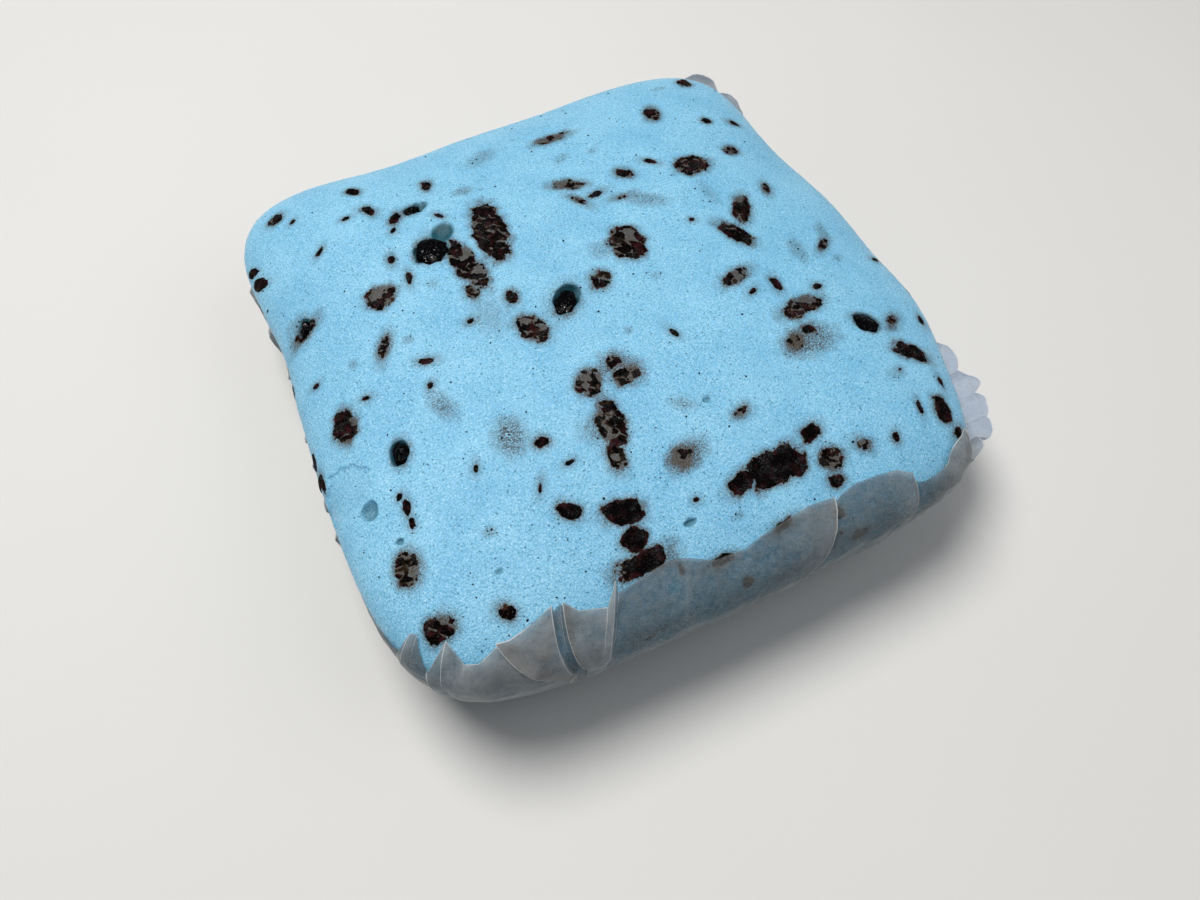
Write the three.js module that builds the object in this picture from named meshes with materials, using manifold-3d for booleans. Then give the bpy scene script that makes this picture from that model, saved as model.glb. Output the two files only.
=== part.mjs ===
// A square steamed sponge cake, pale mint blue with chocolate flakes, in a thin pleated paper case.
// Millimetres, +Z up. X runs along the front side, Y from front to back, and the origin is the
// middle of the case's underside. Angles are in degrees round the Z axis, counted from +X.
import * as THREE from 'three';
import { mergeVertices } from 'three/addons/utils/BufferGeometryUtils.js';
import Module from 'manifold-3d';

const wasm = await Module();
wasm.setup();

// The cake: a squarish cushion, widest at its bulge, with a domed top and a narrower foot.
const HALF_WIDTH = 56.5; // along X, at the bulge
const HALF_DEPTH = 57.3; // along Y, at the bulge
const CAKE_HEIGHT = 36.2;
const BULGE_HEIGHT = 23;
const PLAN_POWER = 6.3; // 2 would be an ellipse, and more is squarer
const SHOULDER_POWER = 2.34;
const SIDE_POWER = 0.9;
const FOOT_SHARE = 0.9; // the foot's half width as a share of the bulge's

// Where the sponge stands out from that even shape or falls short of it: [angle, mm].
const SIDE_SWELLS = [
  [0, 1.5], [14, 1.4], [30, -1.8], [45, 0.9], [70, 0.6], [110, -1.5], [135, 0.4], [160, -2.2],
  [180, -0.6], [225, -0.7], [250, 0.6], [270, 1.3], [290, 0.5], [304, 0.7], [320, -2.6], [340, 3],
];
const SWELL_SPREAD = 14;
const CORNER_LIFTS = [[45, 1.7], [135, 0.3], [225, 2], [315, 0.3]];
const LIFT_SPREAD = 25;

// The case: a sheet that follows the sponge's side, with a flat floor.
const PAPER = 0.4;
const FLOOR_GAP = 0.3;
const SIDE_GAP = 0.75; // less beside the sponge's flat facets, where it is about 0.3
const WALL_LEAN = 1.5; // above 1, the wall keeps close to the sponge and leans out near its rim
const CREASE_EASE = 0.4; // more room where the rim's height changes quickly
const CAKE_BOTTOM = PAPER + FLOOR_GAP;

// The case's rim: [angle, height on the sponge's profile, how far the paper stands off it].
// The front and the near corner come first, then the corners where the paper is pleated.
const FRONT_RIM = [
  [207, 20, 0.2], [211, 22, 1.5], [215, 24.5, 0.4], [220.8, 28, 1.7], [223, 26, 0.5],
  [225.5, 28.4, 2], [229, 27.7, 0.4], [232, 29.2, 1.6], [236, 26.5, 2.2], [238.8, 30.2, 1.2],
  [241, 28, 0.5], [243, 29.6, 1], [246.8, 29.2, 1.5], [248.3, 30.2, 2], [250, 29.8, 0.1],
  [258, 30.2, 0.3], [266, 29.6, 0.8], [272, 29.6, 0.2], [283, 30.1, 0.3], [289.6, 30, 1.6],
  [291.2, 30, 0.1], [298, 30, 0.3], [302.4, 29.2, 1.6], [304, 28, 0.1], [306.5, 28.3, 1.6],
  [310, 27, 2.4],
];
const PLEATED_CORNERS = [
  { from: 313, to: 333, height: 20, reach: 8.4 },
  { from: 37, to: 50, height: 22, reach: 3.6 },
  { from: 124, to: 146, height: 18, reach: 1.4 },
];
const PLEAT_PITCH = 2.6; // degrees from one crease to the next
const PLEAT_VALLEY = 0.55; // how far an inner crease stands off, as a share of an outer one
const PLEAT_RISE = 2; // how much higher the rim is at the middle of a corner
const HIDDEN_SIDE_HEIGHT = 17; // the rim along the right, back and left sides
const HIDDEN_SIDE_ANGLES = [0, 12, 78, 100, 166, 186];
const LONGEST_STRAIGHT = 4; // degrees of rim between two places where the sheet may bend

// Flat flakes that lie in the top: [x, y, length, width, turn].
const SLABS = [
  [10.3, -44, 12, 5, 5], [-14.3, -41.3, 6, 4, -12], [-14.7, -45.6, 4, 3.6, 35],
  [-14.7, -48.9, 8.6, 2.6, 2], [46.9, -33.4, 6, 3.4, -32], [20.3, -41.1, 3.6, 2.5, 20],
  [20.3, -49.2, 2, 1.8, 0], [45.5, -45, 4.2, 3, 75], [-22, -38, 3.2, 2.4, -40],
  [-45.6, -44.8, 4, 3, 10], [-47.8, -35.3, 4.8, 3.2, 80], [-37, -48, 2, 1.8, 20],
  [-44.5, -26.3, 6, 1.3, 78], [33.8, -47.3, 1.8, 1.3, 60], [27.6, -46.3, 2.4, 1.8, -30],
  [41.1, -44, 2, 1, 80], [48.8, -40.5, 2, 1, 80], [32.2, 38.8, 4.6, 2.8, 75],
  [45.1, 48, 4, 2.8, 70], [-46.2, 46.2, 3.2, 2.4, 30], [-30.6, 44.8, 2.6, 2, -50],
  [-29.7, 36.8, 3, 1.8, -65], [-17.6, 39.1, 2.8, 1.8, 75], [-25.8, 32.2, 3, 1.8, 50],
  [10.9, 21.2, 3, 1.4, 12], [-13.9, 3.9, 2.8, 2, 85], [30.9, -12.4, 3, 1.3, 85],
  [-32, -1.8, 2.4, 1.2, -25], [-22.4, 2.2, 1.6, 1.4, 0], [30.9, -23.4, 2.4, 1.8, 0],
  [-21.4, -25.5, 2, 1.8, 0], [8.4, -15, 2, 1, -70], [24.4, 24.8, 2.2, 1.2, -40],
  [41.8, 32.7, 1.8, 1.6, 0], [48, 31.6, 2.2, 1.4, -30], [38, -15.3, 1.8, 1.4, 0],
];

// Flakes crumbled into a patch: [x, y, length, width, turn, number of crumbs].
const PATCHES = [
  [-11.2, 20.8, 15, 6, 80, 9], [-18.3, 15, 13, 4.5, 100, 7], [-19.8, 8.3, 3, 2.4, 90, 1],
  [-34.5, 15.3, 5.4, 4.6, 0, 4], [10.5, 7, 8, 6.6, 80, 6], [2, 0.8, 4, 3.4, 60, 2],
  [-13.4, -4.3, 6, 4.4, -60, 4], [-9.5, -18.4, 5, 4, 45, 3], [-3.6, -16.2, 3, 2, 30, 1],
  [-3.2, -19.3, 4.6, 3, 0, 2], [-9.5, -27.2, 8, 4.4, 80, 5], [-11.4, -32.6, 4.6, 2.8, 80, 2],
  [-48.7, -5.9, 6, 3.8, 80, 4], [7.2, 26, 6, 2.8, -25, 3], [18.2, 24.1, 4, 2.6, -40, 2],
  [31.8, 21, 7, 4.6, 0, 4], [34.7, 6.6, 9, 3.6, 60, 4], [30.3, 1.6, 7, 3.4, -60, 3],
  [24.7, -8.4, 6, 2.6, 15, 2], [32.6, -18.8, 8, 3.4, 0, 4], [10.5, 41.2, 6, 2.6, 0, 2],
  [21.3, -46.6, 4, 3.4, 0, 3],
];
const FLAKE_HEIGHT = 1.1; // of which nearly half stands proud of the sponge
const FLAKE_SUNK = 0.1; // from the sponge's surface down to the flake's middle
const FLAKE_SIDES = 6;
const FLAKE_TAPER = 0.82; // the top's size as a share of the underside's
const FLAKE_SEED = 7;

// Pits round melted flakes, burst bubbles and soft hollows: [x, y, length, width, turn, depth].
const PITS = [
  [-22.8, 20.8, 6.4, 5.8, 0, 3.2], [-19.3, 24, 5, 4, 50, 1.2], [-5.4, -0.6, 7, 4.6, 45, 2.4],
  [-42.2, -16.1, 4.6, 3, 70, 2], [-49.1, 17.8, 4.4, 3, 70, 1.6], [42.2, -25.5, 5, 4.4, -40, 2.2],
  [-21.6, 33.3, 5, 3, 15, 1.8], [-49.9, -23, 3.4, 3, 90, 1.4], [-52.3, -17, 9.4, 8, 70, 0.7],
  [-5.3, -46.8, 2.4, 1.2, 0, 0.8], [-47.4, -30.5, 1.4, 1.2, 0, 0.8],
];

// Mesh steps.
const TOP_CELLS = 28; // along each side of the square top
const TOP_EDGE_SHARE = 0.9; // how far out the even top reaches, before the closer steps
const SHOULDER_STEPS = 4;
const SIDE_STEPS = 5;
const WALL_STEPS = 8;

// A stream of even random numbers from 0 to 1, the same at each run.
function randomStream(seed) {
  let state = seed;
  return () => {
    state = (state * 1664525 + 1013904223) % 4294967296;
    return state / 4294967296;
  };
}

const radians = THREE.MathUtils.degToRad;

// The sum of smooth bumps, each [angle, size], at one angle in radians.
function bumps(angle, list, spread) {
  return list.reduce((sum, [centre, size]) => {
    const off = Math.abs(angle - radians(centre)) % (2 * Math.PI);
    const apart = Math.min(off, 2 * Math.PI - off) / radians(spread);
    return sum + size * Math.exp(-apart * apart);
  }, 0);
}

// The bulge's distance from the axis at one angle.
function bulgeRadius(angle) {
  const across = Math.abs(Math.cos(angle) / HALF_WIDTH) ** PLAN_POWER;
  const deep = Math.abs(Math.sin(angle) / HALF_DEPTH) ** PLAN_POWER;
  return (across + deep) ** (-1 / PLAN_POWER) + bumps(angle, SIDE_SWELLS, SWELL_SPREAD);
}

// A place along the profile, which runs from 0 at the top's middle over 1 at the bulge to 2 at
// the foot: its distance from the axis as a share of the bulge's, and its height.
function profile(place) {
  if (place <= 1) {
    const turn = (place * Math.PI) / 2;
    const rise = (CAKE_HEIGHT - BULGE_HEIGHT) * Math.cos(turn) ** (2 / SHOULDER_POWER);
    return { share: Math.sin(turn) ** (2 / SHOULDER_POWER), z: BULGE_HEIGHT + rise };
  }
  const up = Math.max(2 - place, 0);
  const spread = (1 - FOOT_SHARE) * Math.sin((up * Math.PI) / 2) ** SIDE_POWER;
  return { share: FOOT_SHARE + spread, z: BULGE_HEIGHT * up };
}

// The profile place with a given share of the bulge's radius, above the bulge.
function placeOfShare(share) {
  return (Math.asin(Math.min(share, 1) ** (SHOULDER_POWER / 2)) * 2) / Math.PI;
}

// The profile place at a given height.
function placeOfHeight(z) {
  if (z <= BULGE_HEIGHT) return 2 - z / BULGE_HEIGHT;
  const rise = (z - BULGE_HEIGHT) / (CAKE_HEIGHT - BULGE_HEIGHT);
  return (Math.acos(rise ** (SHOULDER_POWER / 2)) * 2) / Math.PI;
}

// A point on the sponge's skin.
function skin(angle, place) {
  const { share, z } = profile(place);
  const radius = share * bulgeRadius(angle);
  const lift = bumps(angle, CORNER_LIFTS, LIFT_SPREAD) * share ** 2 * Math.min(z / BULGE_HEIGHT, 1);
  return new THREE.Vector3(radius * Math.cos(angle), radius * Math.sin(angle), z + lift);
}

// The skin's outward direction at the same place.
function skinNormal(angle, place) {
  const step = 1e-3;
  const round = skin(angle + step, place).sub(skin(angle - step, place));
  const down = skin(angle, place + step).sub(skin(angle, place - step));
  return down.cross(round).normalize();
}

// The angle and profile place of the skin that lies above a point of the plan.
function above(x, y) {
  const angle = Math.atan2(y, x);
  return [angle, placeOfShare(Math.hypot(x, y) / bulgeRadius(angle))];
}

function indexedGeometry(points, faces) {
  const geometry = new THREE.BufferGeometry();
  const flat = points.flatMap((point) => [point.x, point.y, point.z]);
  geometry.setAttribute('position', new THREE.Float32BufferAttribute(flat, 3));
  geometry.setIndex(faces.flat());
  return geometry;
}

// Two triangles for the four-sided face a, b, c, d.
function quad(a, b, c, d) {
  return [[a, b, c], [a, c, d]];
}

// The plain sponge: a square grid over the top, rings down the side, and a flat underside.
function spongeGeometry() {
  const points = [];
  const faces = [];
  const half = TOP_CELLS / 2;
  const gridIndex = (column, row) => row * (TOP_CELLS + 1) + column;
  for (let row = 0; row <= TOP_CELLS; row += 1) {
    for (let column = 0; column <= TOP_CELLS; column += 1) {
      const u = column / half - 1;
      const v = row / half - 1;
      const share = TOP_EDGE_SHARE * Math.max(Math.abs(u), Math.abs(v));
      points.push(skin(Math.atan2(v, u), placeOfShare(share)));
      if (row < TOP_CELLS && column < TOP_CELLS) {
        const corner = gridIndex(column, row);
        faces.push(...quad(corner, corner + 1, corner + TOP_CELLS + 2, corner + TOP_CELLS + 1));
      }
    }
  }

  const around = 4 * TOP_CELLS;
  const border = (step) => {
    const along = step % TOP_CELLS;
    const side = Math.floor((step % around) / TOP_CELLS);
    if (side === 0) return gridIndex(along, 0);
    if (side === 1) return gridIndex(TOP_CELLS, along);
    if (side === 2) return gridIndex(TOP_CELLS - along, TOP_CELLS);
    return gridIndex(0, TOP_CELLS - along);
  };
  const angles = Array.from({ length: around }, (_, step) => {
    const point = points[border(step)];
    return Math.atan2(point.y, point.x);
  });

  let upper = Array.from({ length: around }, (_, step) => border(step));
  const addRing = (pointAt) => {
    const start = points.length;
    angles.forEach((angle) => points.push(pointAt(angle)));
    const ring = angles.map((_, step) => start + step);
    for (let step = 0; step < around; step += 1) {
      const next = (step + 1) % around;
      faces.push(...quad(upper[step], ring[step], ring[next], upper[next]));
    }
    upper = ring;
  };
  const edge = placeOfShare(TOP_EDGE_SHARE);
  for (let step = 1; step <= SHOULDER_STEPS; step += 1) {
    addRing((angle) => skin(angle, edge + ((1 - edge) * step) / SHOULDER_STEPS));
  }
  for (let step = 1; step <= SIDE_STEPS; step += 1) {
    addRing((angle) => {
      const point = skin(angle, 1 + step / SIDE_STEPS);
      return point.setZ(Math.max(point.z, CAKE_BOTTOM));
    });
  }
  const middle = points.push(new THREE.Vector3(0, 0, CAKE_BOTTOM)) - 1;
  for (let step = 0; step < around; step += 1) {
    faces.push([upper[step], middle, upper[(step + 1) % around]]);
  }
  return indexedGeometry(points, faces);
}

// A geometry as a solid that can be joined and cut.
function solid(geometry) {
  const bare = geometry.clone();
  bare.deleteAttribute('normal');
  bare.deleteAttribute('uv');
  const merged = mergeVertices(bare, 1e-5);
  return new wasm.Manifold(new wasm.Mesh({
    numProp: 3,
    vertProperties: new Float32Array(merged.attributes.position.array),
    triVerts: new Uint32Array(merged.index.array),
  }));
}

function geometryOf(manifold) {
  const mesh = manifold.getMesh();
  const geometry = new THREE.BufferGeometry();
  geometry.setAttribute('position', new THREE.BufferAttribute(mesh.vertProperties, 3));
  geometry.setIndex(new THREE.BufferAttribute(mesh.triVerts, 1));
  geometry.computeVertexNormals();
  return geometry;
}

// Lays a shape made round the origin on the skin above (x, y), turned in the plan.
function layOnSkin(geometry, x, y, turn, sunk) {
  const [angle, place] = above(x, y);
  const normal = skinNormal(angle, place);
  const tip = new THREE.Quaternion().setFromUnitVectors(new THREE.Vector3(0, 0, 1), normal);
  const spin = new THREE.Quaternion().setFromAxisAngle(new THREE.Vector3(0, 0, 1), radians(turn));
  geometry.applyQuaternion(tip.multiply(spin));
  const spot = skin(angle, place).addScaledVector(normal, -sunk);
  return geometry.translate(spot.x, spot.y, spot.z);
}

// One flat flake with uneven corners.
function flake(x, y, length, width, turn, random) {
  const outline = Array.from({ length: FLAKE_SIDES }, (_, corner) => {
    const angle = ((corner + 0.5 * random()) * 2 * Math.PI) / FLAKE_SIDES;
    const reach = 0.8 + 0.35 * random();
    return [(reach * length * Math.cos(angle)) / 2, (reach * width * Math.sin(angle)) / 2];
  });
  const points = [];
  outline.forEach(([a, b]) => points.push(new THREE.Vector3(a, b, -FLAKE_HEIGHT / 2)));
  outline.forEach(([a, b]) => points.push(
    new THREE.Vector3(FLAKE_TAPER * a, FLAKE_TAPER * b, FLAKE_HEIGHT * (0.4 + 0.2 * random())),
  ));
  const faces = [];
  for (let corner = 0; corner < FLAKE_SIDES; corner += 1) {
    const next = (corner + 1) % FLAKE_SIDES;
    faces.push(...quad(corner, next, FLAKE_SIDES + next, FLAKE_SIDES + corner));
    if (corner > 0 && next > 0) {
      faces.push([0, next, corner], [FLAKE_SIDES, FLAKE_SIDES + corner, FLAKE_SIDES + next]);
    }
  }
  return solid(layOnSkin(indexedGeometry(points, faces), x, y, turn, FLAKE_SUNK));
}

// The crumbs of one patch, side by side along it.
function patchOfCrumbs(x, y, length, width, turn, count, random) {
  const along = new THREE.Vector2(Math.cos(radians(turn)), Math.sin(radians(turn)));
  return Array.from({ length: count }, (_, index) => {
    const forth = count === 1 ? 0 : (index / (count - 1) - 0.5) * length * 0.75;
    const side = count === 1 ? 0 : (index % 2 ? 0.22 : -0.22) * width;
    const size = (length / Math.max(count, 2)) * (1.3 + 0.5 * random());
    return flake(
      x + along.x * forth - along.y * side,
      y + along.y * forth + along.x * side,
      size, Math.min(size, width * (0.45 + 0.25 * random())), turn + 90 * random(), random,
    );
  });
}

function pit(x, y, length, width, turn, depth) {
  const bowl = new THREE.IcosahedronGeometry(1, 1).scale(length / 2, width / 2, depth);
  return solid(layOnSkin(bowl, x, y, turn, 0));
}

function cake() {
  const random = randomStream(FLAKE_SEED);
  const flakes = SLABS.map((row) => flake(...row, random));
  const crumbs = PATCHES.flatMap((row) => patchOfCrumbs(...row, random));
  const pits = PITS.map((row) => pit(...row));
  const whole = wasm.Manifold.union([solid(spongeGeometry()), ...flakes, ...crumbs]);
  const geometry = geometryOf(whole.subtract(wasm.Manifold.union(pits)));
  const material = new THREE.MeshStandardMaterial({ color: 0x8ecbe3, roughness: 0.7, metalness: 0 });
  const mesh = new THREE.Mesh(geometry, material);
  mesh.name = 'cake';
  return mesh;
}

// A corner's pleats: rim places with the paper out and in by turns.
function pleats({ from, to, height, reach }) {
  const count = Math.round((to - from) / PLEAT_PITCH);
  return Array.from({ length: count + 1 }, (_, index) => {
    const across = index / count;
    const crown = Math.sin(Math.PI * across) ** 0.5;
    const out = index % 2 ? crown : PLEAT_VALLEY * crown;
    return [from + (to - from) * across, height + PLEAT_RISE * out, CREASE_EASE + reach * out];
  });
}

// The whole rim in order of angle, with more places where it would be straight for too long.
function rimPlaces() {
  const creases = [
    ...FRONT_RIM,
    ...PLEATED_CORNERS.flatMap((corner) => pleats(corner)),
    ...HIDDEN_SIDE_ANGLES.map((angle) => [angle, HIDDEN_SIDE_HEIGHT, 0]),
  ].sort((one, other) => one[0] - other[0]);
  return creases.flatMap(([angle, height, out], index) => {
    const [nextAngle, nextHeight, nextOut] = creases[(index + 1) % creases.length];
    const gap = (nextAngle - angle + 360) % 360;
    const parts = Math.ceil(gap / LONGEST_STRAIGHT);
    return Array.from({ length: parts }, (_, part) => {
      const share = part / parts;
      return {
        angle: radians(angle + gap * share),
        place: placeOfHeight(height + (nextHeight - height) * share),
        out: out + (nextOut - out) * share,
      };
    });
  });
}

// The case: an outer and an inner skin from the floor up to the rim, joined along the rim.
function paperCase() {
  const rim = rimPlaces();
  const points = [];
  const faces = [];
  const around = rim.length;
  const wall = (offset, floor) => {
    const start = points.length;
    for (let step = 0; step <= WALL_STEPS; step += 1) {
      const up = step / WALL_STEPS;
      rim.forEach(({ angle, place, out }) => {
        const height = 2 - (2 - place) * up;
        const point = skin(angle, height);
        point.addScaledVector(skinNormal(angle, height), offset + out * up ** WALL_LEAN);
        points.push(step === 0 ? point.setZ(floor) : point);
      });
    }
    return start;
  };
  const outer = wall(SIDE_GAP + PAPER, 0);
  const inner = wall(SIDE_GAP, PAPER);
  const underside = points.push(new THREE.Vector3(0, 0, 0)) - 1;
  const floor = points.push(new THREE.Vector3(0, 0, PAPER)) - 1;
  const top = WALL_STEPS * around;
  for (let station = 0; station < around; station += 1) {
    const next = (station + 1) % around;
    for (let step = 0; step < WALL_STEPS; step += 1) {
      const low = step * around;
      const high = low + around;
      faces.push(...quad(outer + low + station, outer + low + next,
        outer + high + next, outer + high + station));
      faces.push(...quad(inner + low + next, inner + low + station,
        inner + high + station, inner + high + next));
    }
    faces.push(...quad(outer + top + station, outer + top + next,
      inner + top + next, inner + top + station));
    faces.push([underside, outer + next, outer + station]);
    faces.push([floor, inner + station, inner + next]);
  }
  const geometry = indexedGeometry(points, faces);
  geometry.computeVertexNormals();
  const material = new THREE.MeshStandardMaterial({ color: 0xd3dade, roughness: 0.55, metalness: 0 });
  const mesh = new THREE.Mesh(geometry, material);
  mesh.name = 'paper_case';
  return mesh;
}

const group = new THREE.Group();
group.add(cake(), paperCase());

export default group;
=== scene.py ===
"""A square steamed sponge cake, pale mint blue with chocolate flakes, in a thin pleated paper case.

Tables give lengths in millimetres and angles in degrees round +Z, counted from +X. MM turns a
length into Blender's metres. The cake's skin is one smooth shape, found from an angle and a place
along its profile, and everything else is laid on that skin.
"""

import math
import random

import bmesh
import bpy
import numpy as np
from mathutils import Matrix, Vector, noise


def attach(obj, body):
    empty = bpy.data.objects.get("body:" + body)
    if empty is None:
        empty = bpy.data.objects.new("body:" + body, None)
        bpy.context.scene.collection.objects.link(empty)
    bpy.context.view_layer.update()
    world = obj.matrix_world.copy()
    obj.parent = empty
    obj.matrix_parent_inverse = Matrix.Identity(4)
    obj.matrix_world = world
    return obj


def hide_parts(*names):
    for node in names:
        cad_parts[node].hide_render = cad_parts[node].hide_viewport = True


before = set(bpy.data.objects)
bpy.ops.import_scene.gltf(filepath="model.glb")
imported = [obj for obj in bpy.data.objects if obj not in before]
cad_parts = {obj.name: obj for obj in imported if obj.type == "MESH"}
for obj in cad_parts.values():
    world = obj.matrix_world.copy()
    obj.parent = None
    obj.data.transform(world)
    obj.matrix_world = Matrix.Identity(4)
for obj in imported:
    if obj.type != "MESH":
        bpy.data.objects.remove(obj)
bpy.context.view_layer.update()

MM = 0.001

# ---- the cake's even shape

HALF_WIDTH = 56.5  # along X, at the bulge
HALF_DEPTH = 57.3  # along Y, at the bulge
CAKE_HEIGHT = 36.2
BULGE_HEIGHT = 23.0
PLAN_POWER = 6.3  # 2 would be an ellipse, and more is squarer
SHOULDER_POWER = 2.34
SIDE_POWER = 0.9
FOOT_SHARE = 0.9  # the foot's half width as a share of the bulge's
CAKE_BOTTOM = 0.4

# Where the sponge stands out from the even shape or falls short of it: (angle, mm).
SIDE_SWELLS = (
    (0, 1.5), (14, 1.4), (30, -1.8), (45, 0.9), (70, 0.6), (110, -1.5), (135, 0.4), (160, -2.2),
    (180, -0.6), (225, -0.7), (250, 0.6), (270, 1.3), (290, 0.5), (304, 0.7), (320, -2.6), (340, 3),
)
SWELL_SPREAD = 14
CORNER_LIFTS = ((45, 1.7), (135, 0.3), (225, 2), (315, 0.3))
LIFT_SPREAD = 25
SKIN_RELIEF = ((0.4, 15), (0.07, 1.3))  # (height, width) of the soft swells and of the crumb

# ---- what lies in the top

# Flat flakes: (x, y, length, width, turn, squareness).
SLABS = (
    (11.5, -44, 9.4, 5.4, 5, 3), (5.6, -44.3, 5, 2.8, 15, 2.4), (15, -44.4, 4.4, 4.8, 0, 3),
    (-14.3, -41.3, 6, 4, -12, 3), (-14.7, -45.8, 4.2, 3.6, 35, 2.4),
    (-14.7, -49.4, 8.8, 3, 2, 3.5), (46.9, -33.4, 6.4, 3.4, -32, 3), (20.3, -41.1, 3.8, 2.5, 20, 2.5),
    (20.3, -49.7, 2.4, 1.9, 0, 2.5), (45.5, -45.3, 4.4, 3.2, 75, 2.5), (-22, -38, 3.6, 2.6, -40, 2.4),
    (46.6, -49.5, 2.4, 1.4, 30, 2.5), (-44.5, -26, 2.8, 1, 78, 2), (-44.9, -23.6, 1.2, 0.9, 60, 2),
    (-44.7, -28.6, 1.6, 1, 80, 2), (8.8, -52.6, 3.4, 1.3, 8, 2.5), (-3, -53.7, 3, 1.3, 0, 2.5),
    (33.8, -47.3, 1.8, 1.3, 60, 2), (-13.9, 3.9, 2.8, 2, 85, 3), (-22.4, 2.2, 1.6, 1.3, 0, 2),
    (30.9, -12.4, 3, 1.4, 85, 2.5), (8.4, -15, 2, 0.9, -70, 2), (-50.7, 5.2, 1.2, 0.9, 0, 2),
    (-32, -1.8, 2.6, 1.3, -25, 2), (-43.6, -3.2, 1.5, 1, -20, 2), (10.9, 21.2, 3, 1.3, 12, 2.5),
    (24.4, 24.8, 2.4, 1.1, -40, 2), (38, -15.3, 1.8, 1.3, 0, 2), (25.8, -12.3, 2, 1, 30, 2),
    (-29.7, 36.8, 3.2, 1.8, -65, 2.4), (-30.6, 44.8, 2.8, 2, -50, 2.4), (-34.1, 37, 1.8, 1, 0, 2),
    (-25.8, 32.2, 3, 1.9, 50, 2.4), (-27.2, 29.2, 1.4, 1, 30, 2), (-17.4, 39.2, 3, 1.8, 75, 2.4),
    (-41.2, 31.5, 2, 1, 50, 2), (-30, 22.4, 2.4, 1.4, 80, 2), (41.8, 32.7, 1.8, 1.6, 0, 2),
    (48, 31.6, 2.2, 1.4, -30, 2), (41.1, -44, 2.2, 0.9, 80, 2), (48.9, -40.3, 2.2, 0.9, 80, 2),
    (42, -36.3, 1, 0.9, 0, 2), (-21.2, -25.5, 2.1, 1.9, 0, 2.5), (30.9, -23.4, 2.6, 1.9, 10, 2.4),
    (-33.2, -6.8, 1.4, 1, 60, 2), (-18.6, -30.6, 1.5, 0.7, 10, 2), (-32.4, -25.2, 1.4, 0.7, 70, 2),
    (-24.6, -32.6, 2, 0.8, 60, 2), (-2.8, -43.9, 1, 0.8, 0, 2), (-28.6, 16.6, 2.6, 1.1, 80, 2),
    (-56, -10.9, 2.4, 1.2, 80, 2), (54.9, -27, 2, 1.2, 70, 2), (55.6, -11, 2, 1.2, 0, 2),
    (-18.2, 28.8, 1.8, 1.1, -60, 2), (-43.6, 42.7, 1.2, 0.7, 40, 2), (24.2, 7.4, 1.2, 0.9, 0, 2),
)
SLAB_RISE = 0.2

# Flakes crumbled into a patch: (x, y, length, width, turn, crumbs, share left out).
PATCHES = (
    (-11.2, 20.8, 15.5, 6.4, 82, 26, 0.1), (-18.3, 15, 13, 4.6, 100, 24, 0.25),
    (-19.7, 8.2, 3.2, 2.4, 100, 3, 0), (-34.5, 15.3, 5.6, 4.8, 0, 9, 0.1),
    (10.5, 7, 8.4, 6.8, 75, 20, 0.15), (2, 0.8, 4.4, 3.6, 60, 6, 0.1),
    (-13.4, -4.2, 6.4, 4.6, -60, 13, 0.15), (-9.5, -18.4, 5.4, 4.2, 45, 10, 0.2),
    (-3.8, -16.2, 3, 2.2, 30, 4, 0.1), (-3, -19.5, 5, 3.4, 10, 9, 0.4),
    (-9.5, -27, 8.6, 4.4, 80, 18, 0.15), (-11.4, -32.6, 4.8, 2.8, 80, 7, 0.1),
    (-48.7, -5.9, 6.2, 4, 80, 9, 0.05), (6.9, 26, 6, 2.8, -25, 9, 0.3),
    (18.4, 23.9, 3.2, 2.4, -40, 5, 0.2), (31.8, 21, 7.2, 4.8, 0, 13, 0.05),
    (34.9, 6.8, 7.4, 3.6, 60, 12, 0.25), (30.3, 1.4, 7.4, 3.2, -60, 11, 0.1),
    (24.9, -8, 6, 2.8, 15, 10, 0.3), (32.6, -18.6, 8.2, 3.6, 8, 14, 0.2),
    (10.5, 41.2, 6.4, 2.6, 0, 9, 0.3), (32.2, 38.8, 4.8, 3, 75, 7, 0.1),
    (45.1, 48.2, 4, 2.8, 70, 5, 0.1), (-46.4, 46, 3.4, 2.4, 30, 4, 0.1),
    (21.3, -46.4, 4.2, 3.8, 0, 9, 0.2), (-46.6, -45.9, 4.6, 4, 0, 9, 0.1),
    (-47.8, -35.2, 5.6, 3.8, 80, 11, 0.2), (-37, -48, 2.8, 2.2, -40, 4, 0.1),
    (27.6, -46.3, 2.8, 2, -30, 5, 0.3), (-49, 17, 5.4, 2.6, 20, 7, 0.4),
    (-37.6, 4.6, 4.6, 1.8, 60, 7, 0.3), (42.2, 23.3, 3, 2.6, 0, 5, 0.4),
    (43.2, 11, 3, 1.6, 70, 5, 0.3), (7.1, 21, 3.6, 1.4, -60, 6, 0.4),
    (47.6, -26.5, 3.6, 2, 30, 6, 0.4), (11.3, -33.4, 2.4, 1.6, 20, 4, 0.3),
    (45.6, -6.2, 3.6, 1.4, 40, 5, 0.4), (-1.5, -36.6, 4.6, 3.6, 20, 12, 0.55),
    (27.2, -25, 4.4, 3, 40, 10, 0.6), (14.8, 18.4, 3, 1, 0, 4, 0.4),
)
PATCH_SQUARENESS = 2.2
PATCH_RISE = 0.3
JOINED_CRUMBS = 0.1  # neighbouring crumbs join where chance, from -1 to 1, is above this
FLAKE_THICKNESS = 0.25
EDGE_DIP = 0.25  # how far flakes' edges dip under the skin

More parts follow.
